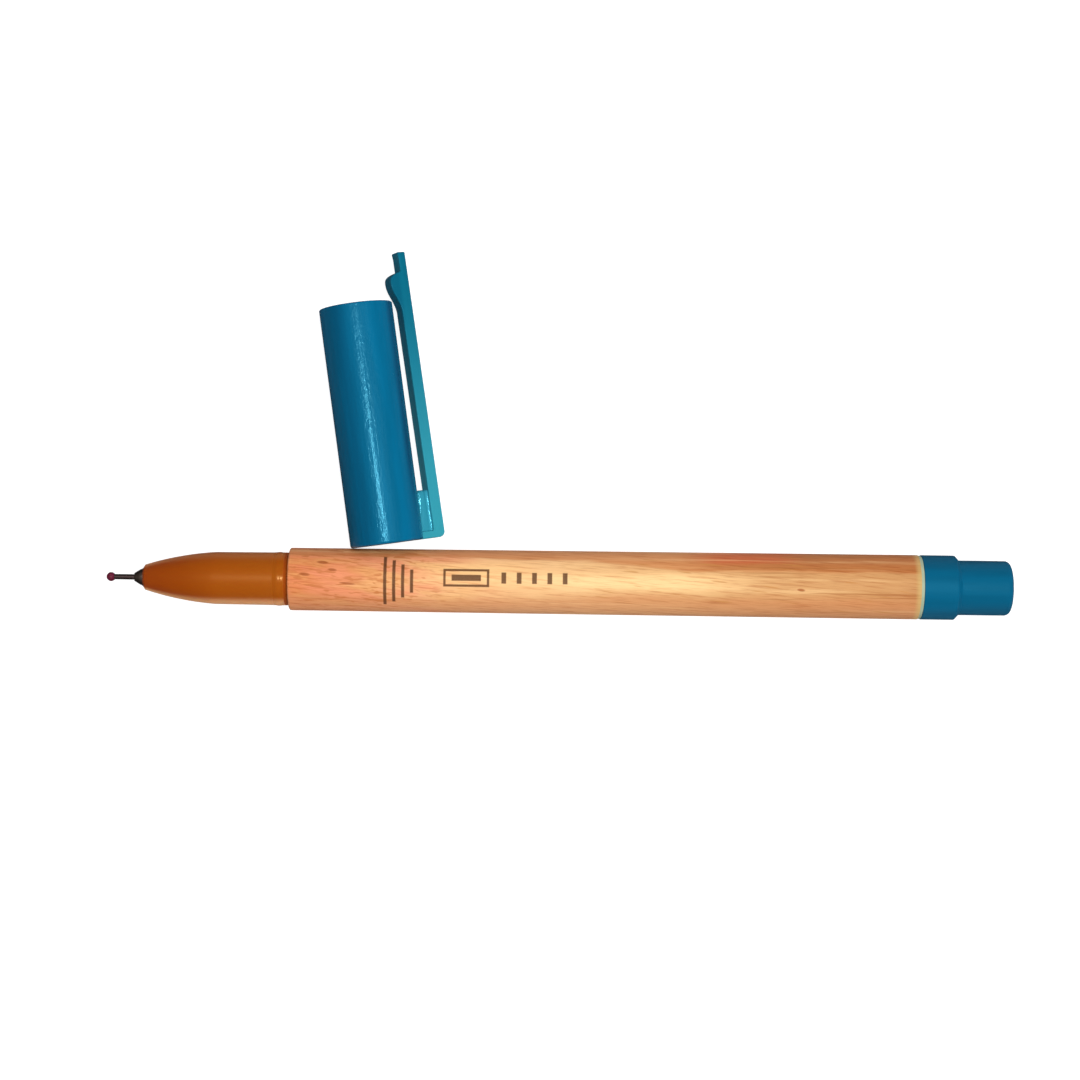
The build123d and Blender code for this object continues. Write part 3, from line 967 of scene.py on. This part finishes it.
# ---------------- cap tube and liner ----------------
def make_cap():
    """Cap tube with a dimple in its closed end, the clutch bore and the wider mouth."""
    step = CAP_LENGTH - MOUTH_DEPTH
    liner_back = liner_high.x + 0.2
    liner_r = liner_high.y + 0.01
    dimple_r, dimple_depth = 1.60, 0.10
    shape = lathe(rounded([
        (dimple_depth, 0.0),
        (dimple_depth, dimple_r, 0.08),
        (0.0, dimple_r + 0.15, 0.08),
        (0.0, CAP_R, CAP_EDGE),
        (CAP_LENGTH, CAP_R, 0.25),
        (CAP_LENGTH, MOUTH_R + 0.10, 0.12),
        (CAP_LENGTH - 0.5, MOUTH_R),
        (step, MOUTH_R, 0.1),
        (step - 0.5, CLUTCH_R, 0.2),
        (liner_back, CLUTCH_R),
        (liner_back, liner_r),
        (CAP_FLOOR, liner_r),
        (CAP_FLOOR, 0.0),
    ]))
    fit(piece("cap_tube", shape, CAP, cap_blue), "cap", "blue_plastic", "cap_shell")


def make_liner():
    """Soft cup that the needle point rests in."""
    front, back, r = liner_low.x, liner_high.x, liner_high.y
    floor, lip = 0.8, 0.8
    shape = lathe(rounded([
        (front, 0.0),
        (front, r, 0.3),
        (back, r, 0.2),
        (back, LINER_BORE + lip, 0.1),
        (back - lip, LINER_BORE, 0.3),
        (front + floor, LINER_BORE, 0.4),
        (front + floor, 0.0),
    ]))
    fit(piece("cap_liner", shape, CAP, liner_white), "cap", "liner_plastic", "inner_cap")


make_cap()
make_liner()


# ---------------- clip ----------------
clip_middle = (arm_low.z + arm_high.z) / 2
clip_width = arm_high.z - arm_low.z


def clip_outer(station):
    """Outer face of the clip, which leans towards the cap on its way to the tip."""
    return clip_root_outer - CLIP_TAPER * station


def clip_inner(station):
    """Inner face of the clip, with its gripping bump and the lip at its end."""
    rest = clip_outer(station) - (CLIP_THICKNESS if station < BUMP_FRONT else TIP_THICKNESS)
    if BUMP_BACK < station <= BUMP_PEAK:
        share = (station - BUMP_BACK) / (BUMP_PEAK - BUMP_BACK)
        rest -= BUMP_HEIGHT * math.sin(share * math.pi / 2) ** 2
    elif BUMP_PEAK < station < BUMP_FRONT:
        share = (station - BUMP_PEAK) / (BUMP_FRONT - BUMP_PEAK)
        step = CLIP_THICKNESS - TIP_THICKNESS
        rest += step - (BUMP_HEIGHT + step) * (1 - share ** BUMP_STEEPNESS)
    lip = arm_high.x - LIP_LENGTH
    if station > lip:
        rest -= LIP_HEIGHT * (station - lip) / LIP_LENGTH
    return rest


def clip_section(inner, outer, width, edge, inset=0.0):
    """A rounded rectangle from an inner to an outer point, each (station, distance from the axis)."""
    start, end = Vector(inner), Vector(outer)
    way = (end - start).normalized()
    start += way * inset
    end -= way * inset
    half = width / 2 - inset
    length = (end - start).length
    edge = max(edge - inset, 0.02)
    section = []
    for side, (along, across) in enumerate(((length, half), (0, half), (0, -half), (length, -half))):
        centre_along = edge if along == 0 else length - edge
        centre_across = (half - edge) * (1 if across > 0 else -1)
        for k in range(ARC_STEPS - 1):
            angle = math.pi / 2 * (side + k / (ARC_STEPS - 2))
            reach = centre_along + edge * math.cos(angle)
            at = start + way * reach
            section.append((at.x, at.y, clip_middle + centre_across + edge * math.sin(angle)))
    return section


def stations(start, end, count):
    """Evenly spaced stations, both ends included."""
    return [start + (end - start) * k / count for k in range(count + 1)]


def clip_ribs():
    """Inner and outer points of the clip: along the closed end, round the corner and up the arm."""
    ribs = [((END_BAND, y), (0.0, y)) for y in stations(CLUTCH_R + 0.4, clip_inner(END_BAND) - 0.4, 4)]
    outer_centre = Vector((CLIP_CORNER, clip_outer(CLIP_CORNER) - CLIP_CORNER))
    inner_centre = Vector((END_BAND + CLIP_INNER_CORNER, clip_inner(END_BAND) - CLIP_INNER_CORNER))
    for k in range(ARC_STEPS + 1):
        angle = math.pi / 2 * k / ARC_STEPS
        way = Vector((-math.cos(angle), math.sin(angle)))
        ribs.append((inner_centre + way * CLIP_INNER_CORNER, outer_centre + way * CLIP_CORNER))
    along = stations(2.4, 7.4, 4) + stations(7.8, 12.3, 10) + stations(14.5, 34.0, 8)
    along += stations(BUMP_BACK, BUMP_PEAK, 12) + stations(BUMP_PEAK, BUMP_FRONT, 10)[1:]
    along += stations(BUMP_FRONT, arm_high.x - LIP_LENGTH, 3)[1:]
    ribs += [((t, clip_inner(t)), (t, clip_outer(t))) for t in along]
    return ribs


def make_clip():
    """The arm, with its tip rounded off."""
    sections = [clip_section(inner, outer, clip_width, CLIP_EDGE) for inner, outer in clip_ribs()]
    for k in range(1, ARC_STEPS + 1):
        angle = math.pi / 2 * k / ARC_STEPS
        t = arm_high.x - CLIP_EDGE * (1 - math.sin(angle))
        inset = CLIP_EDGE * (1 - math.cos(angle))
        sections.append(clip_section((t, clip_inner(t)), (t, clip_outer(t)), clip_width, CLIP_EDGE, inset))
    made = piece("clip", loft(sections), CAP, clip_blue)
    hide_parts("clip_arm")
    axis_line = clip_inner(CLIP_ROOT)
    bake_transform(made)


def web_section(station, inset):
    """The web between tube and arm: a plate with a soft swell, which flares into both of them."""
    near, far = CAP_R - 0.35, clip_inner(station) + 0.25
    half = WEB_WIDTH / 2 - inset
    swell = WEB_SWELL * min(1.0, station / WEB_SWELL_FULL)
    side = []
    for k in range(WEB_STEPS + 1):
        y = near + (far - near) * k / WEB_STEPS
        edge = min(y - near, far - y)
        flare = WEB_FLARE * max(0.0, 1 - edge / WEB_FLARE_LENGTH) ** 2
        pillow = max(0.0, math.cos(math.pi * (y - WEB_MIDDLE) / WEB_SWELL_WIDTH))
        side.append((y, half + flare + swell * pillow))
    upper = [(station, y, clip_middle + w) for y, w in side]
    lower = [(station, y, clip_middle - w) for y, w in reversed(side)]
    return upper + lower


def make_web():
    """The web, ending in a rounded edge at the clip's root."""
    sections = [web_section(t, 0.0) for t in stations(END_BAND - 0.2, CLIP_ROOT - WEB_EDGE, 6)]
    edge_steps = 4
    for k in range(1, edge_steps + 1):
        angle = math.pi / 2 * k / edge_steps
        t = CLIP_ROOT - WEB_EDGE * (1 - math.sin(angle))
        sections.append(web_section(t, WEB_EDGE * (1 - math.cos(angle))))
    fit(piece("clip_web", loft(sections), CAP, web_blue), "cap", "blue_plastic")


make_clip()
make_web()


# ---------------- floor, light and camera ----------------
def stage_piece(name, mesh, base, glow):
    """Something that stands round the object: plain, matt and lit from within, so it stays pale."""
    paper = bpy.data.materials.new(name)
    paper.use_nodes = True
    shader = paper.node_tree.nodes["Principled BSDF"]
    shader.inputs["Base Color"].default_value = (base, base, base, 1.0)
    shader.inputs["Roughness"].default_value = 0.9
    shader.inputs["Specular IOR Level"].default_value = 0.1
    shader.inputs["Emission Color"].default_value = (1.0, 1.0, 1.0, 1.0)
    shader.inputs["Emission Strength"].default_value = glow
    mesh.materials.append(paper)
    made = bpy.data.objects.new(name, mesh)
    bpy.context.scene.collection.objects.link(made)
    made.visible_glossy = False
    return made


def make_floor():
    """A wide pale table, just below the set."""
    half, drop = 1.2, -0.00005
    mesh = bpy.data.meshes.new("floor")
    corners = [(-half, -half), (half, -half), (half, half), (-half, half)]
    mesh.from_pydata([(x, y, drop) for x, y in corners], [], [(0, 1, 2, 3)])
    stage_piece("floor", mesh, 0.40, 0.82)


def make_backdrop():
    """A pale dome for low views. It sends no light to the object and casts no shadow."""
    shell = bmesh.new()
    bmesh.ops.create_uvsphere(shell, u_segments=64, v_segments=32, radius=1.15)
    mesh = bpy.data.meshes.new("backdrop")
    shell.to_mesh(mesh)
    shell.free()
    backdrop = stage_piece("backdrop", mesh, 0.0, 0.86)
    backdrop.visible_diffuse = False
    backdrop.visible_transmission = False
    backdrop.visible_shadow = False


def make_light(name, at, size, power, target=(0.0, 0.0, 0.0), mirrored=True):
    """A round lamp aimed at the target; one that isn't mirrored leaves no highlight."""
    lamp = bpy.data.lights.new(name, "AREA")
    lamp.shape = "DISK"
    lamp.size = size
    lamp.energy = power
    made = bpy.data.objects.new(name, lamp)
    made.location = at
    made.rotation_euler = (Vector(at) - Vector(target)).to_track_quat("Z", "Y").to_euler()
    made.visible_glossy = mirrored
    bpy.context.scene.collection.objects.link(made)


def make_world():
    """A studio dome, brighter overhead than at the horizon."""
    world = bpy.data.worlds.new("studio")
    world.use_nodes = True
    nodes, links = world.node_tree.nodes, world.node_tree.links
    where = nodes.new("ShaderNodeTexCoord")
    split = nodes.new("ShaderNodeSeparateXYZ")
    ramp = nodes.new("ShaderNodeValToRGB")
    ramp.color_ramp.elements[0].color = (0.06, 0.06, 0.06, 1.0)
    ramp.color_ramp.elements[1].color = (0.80, 0.80, 0.80, 1.0)
    links.new(where.outputs["Generated"], split.inputs["Vector"])
    links.new(split.outputs["Z"], ramp.inputs["Fac"])
    links.new(ramp.outputs["Color"], nodes["Background"].inputs["Color"])
    nodes["Background"].inputs["Strength"].default_value = 0.55
    bpy.context.scene.world = world


def make_camera():
    """Looks straight down on the set, from above the space between pen and cap."""
    height, left, beyond = 355 * MM, 2.94 * MM, 6.70 * MM
    roll = math.radians(0.76)
    data = bpy.data.cameras.new("camera")
    data.sensor_width = 36
    data.lens = 74.6
    camera = bpy.data.objects.new("camera", data)
    camera.location = (-left, pen_axis.y + beyond, pen_axis.z + height)
    camera.rotation_euler = (0, 0, roll)
    bpy.context.scene.collection.objects.link(camera)
    bpy.context.scene.camera = camera


make_floor()
make_backdrop()
make_light("overhead", at=(0.42, -0.03, 0.85), size=0.60, power=8.6, mirrored=False)
make_light("compact", at=(-0.022, 0.004, 0.42), size=0.03, power=0.46, target=(-0.030, -0.010, 0.0))
make_world()
make_camera()
bpy.context.scene.view_settings.view_transform = "Standard"
